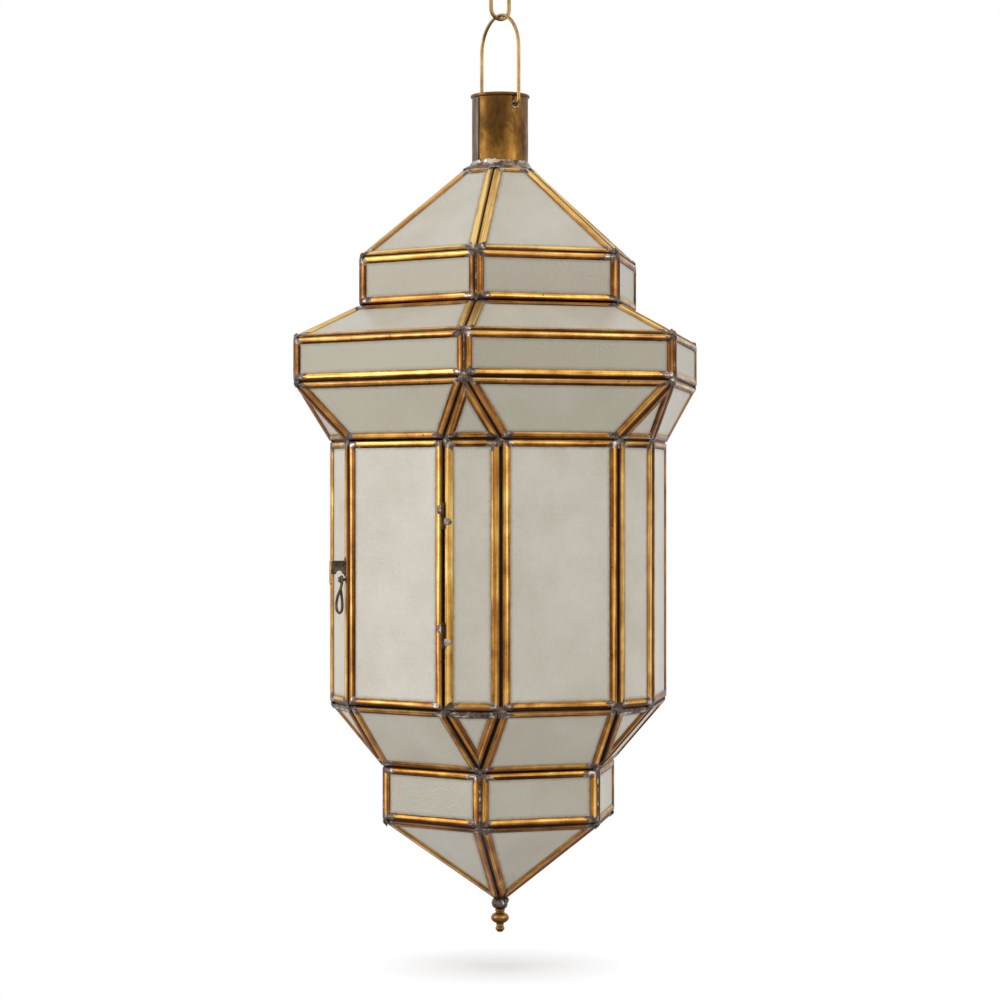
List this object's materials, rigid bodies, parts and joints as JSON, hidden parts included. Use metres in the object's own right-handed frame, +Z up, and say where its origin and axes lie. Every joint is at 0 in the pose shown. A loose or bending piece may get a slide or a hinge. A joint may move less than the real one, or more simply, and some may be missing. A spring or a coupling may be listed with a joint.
{
  "type": "moroccan pendant lamp",
  "caption": "Hexagonal hanging lantern of brass-framed frosted panes, with a hinged side door, a wire latch, a bail, a short chain and a ceiling hook.",
  "frame": {"origin": "centre of the three ceiling screw holes, on the back face of the ceiling plate", "axes": "+Z up along the line of hanging, -Y towards the narrow pane right of the door, +X to its right"},
  "size_m": [0.3274, 0.3752, 0.8765],
  "materials": {
    "came_brass": "golden brass channel with a brown patina and brushed scratches",
    "aged_brass": "dull brown brass with mottled patina",
    "brass_wire": "drawn wire, brown gold with worn highlights",
    "solder": "grey lumpy solder",
    "milk_glass": "frosted, fine hammered texture",
    "bulb_glass": "white frosted",
    "zinc_steel": "zinc plated",
    "porcelain": "glazed white",
    "white_plastic": "moulded"
  },
  "bodies": {
    "ceiling_fitting": {"ceiling_plate": "aged_brass", "hook_locknut": "aged_brass", "ceiling_hook": "aged_brass"},
    "upper_link": {"upper_chain_link": "brass_wire"},
    "lower_link": {"lower_chain_link": "brass_wire"},
    "bail": {"bail": "brass_wire"},
    "lantern": {"chimney": "aged_brass", "chimney_seam": "solder", "solder_collar": "solder", "roof_cames": "came_brass", "roof_panes": "milk_glass", "top_band_cames": "came_brass", "top_band_panes": "milk_glass", "flare_cames": "came_brass", "flare_panes": "milk_glass", "wide_band_cames": "came_brass", "wide_band_panes": "milk_glass", "shoulder_cames": "came_brass", "shoulder_panes": "milk_glass", "shoulder_triangle_cames": "came_brass", "shoulder_triangle_panes": "milk_glass", "wide_body_cames": "came_brass", "wide_body_panes": "milk_glass", "narrow_body_cames": "came_brass", "narrow_body_panes": "milk_glass", "lower_tier_cames": "came_brass", "lower_tier_panes": "milk_glass", "lower_triangle_cames": "came_brass", "lower_triangle_panes": "milk_glass", "lower_band_cames": "came_brass", "lower_band_panes": "milk_glass", "point_cames": "came_brass", "point_panes": "milk_glass", "solder_cap": "solder", "finial": "came_brass", "frame_knuckles": "aged_brass", "hinge_pins": "aged_brass", "latch_bracket": "aged_brass", "latch_rivet": "aged_brass", "holder_strap": "zinc_steel", "threaded_tube": "zinc_steel", "strap_nuts": "zinc_steel", "cord_bush": "white_plastic", "lampholder_cap": "aged_brass", "lampholder_shell": "aged_brass", "socket_insert": "porcelain", "socket_thread": "aged_brass", "bulb_base": "zinc_steel", "bulb_glass": "bulb_glass"},
    "door": {"door_cames": "came_brass", "door_pane": "milk_glass", "door_knuckles": "aged_brass"},
    "latch": {"latch_hook": "brass_wire"}
  },
  "joints": [
    {"name": "upper_link_swing", "type": "hinge", "parent": "ceiling_fitting", "child": "upper_link", "pos_m": [0, 0, -0.035], "axis": [0.7431, 0.6691, 0], "range_deg": [-30, 30]},
    {"name": "lower_link_swing", "type": "hinge", "parent": "upper_link", "child": "lower_link", "pos_m": [0, 0, -0.05775], "axis": [0.6691, -0.7431, 0], "range_deg": [-30, 30]},
    {"name": "bail_swing", "type": "hinge", "parent": "lower_link", "child": "bail", "pos_m": [0, 0, -0.0808], "axis": [0.7431, 0.6691, 0], "range_deg": [-30, 30]},
    {"name": "lantern_swing", "type": "hinge", "parent": "bail", "child": "lantern", "pos_m": [0, 0, -0.15595], "axis": [0.6691, -0.7431, 0], "range_deg": [-45, 45]},
    {"name": "door_swing", "type": "hinge", "parent": "lantern", "child": "door", "pos_m": [-0.0245, -0.14844, -0.56245], "axis": [0, 0, 1], "range_deg": [0, 120]},
    {"name": "latch_swing", "type": "hinge", "parent": "lantern", "child": "latch", "pos_m": [-0.1186, -0.09145, -0.56745], "axis": [-0.866, -0.5, 0], "range_deg": [-90, 90]}
  ]
}
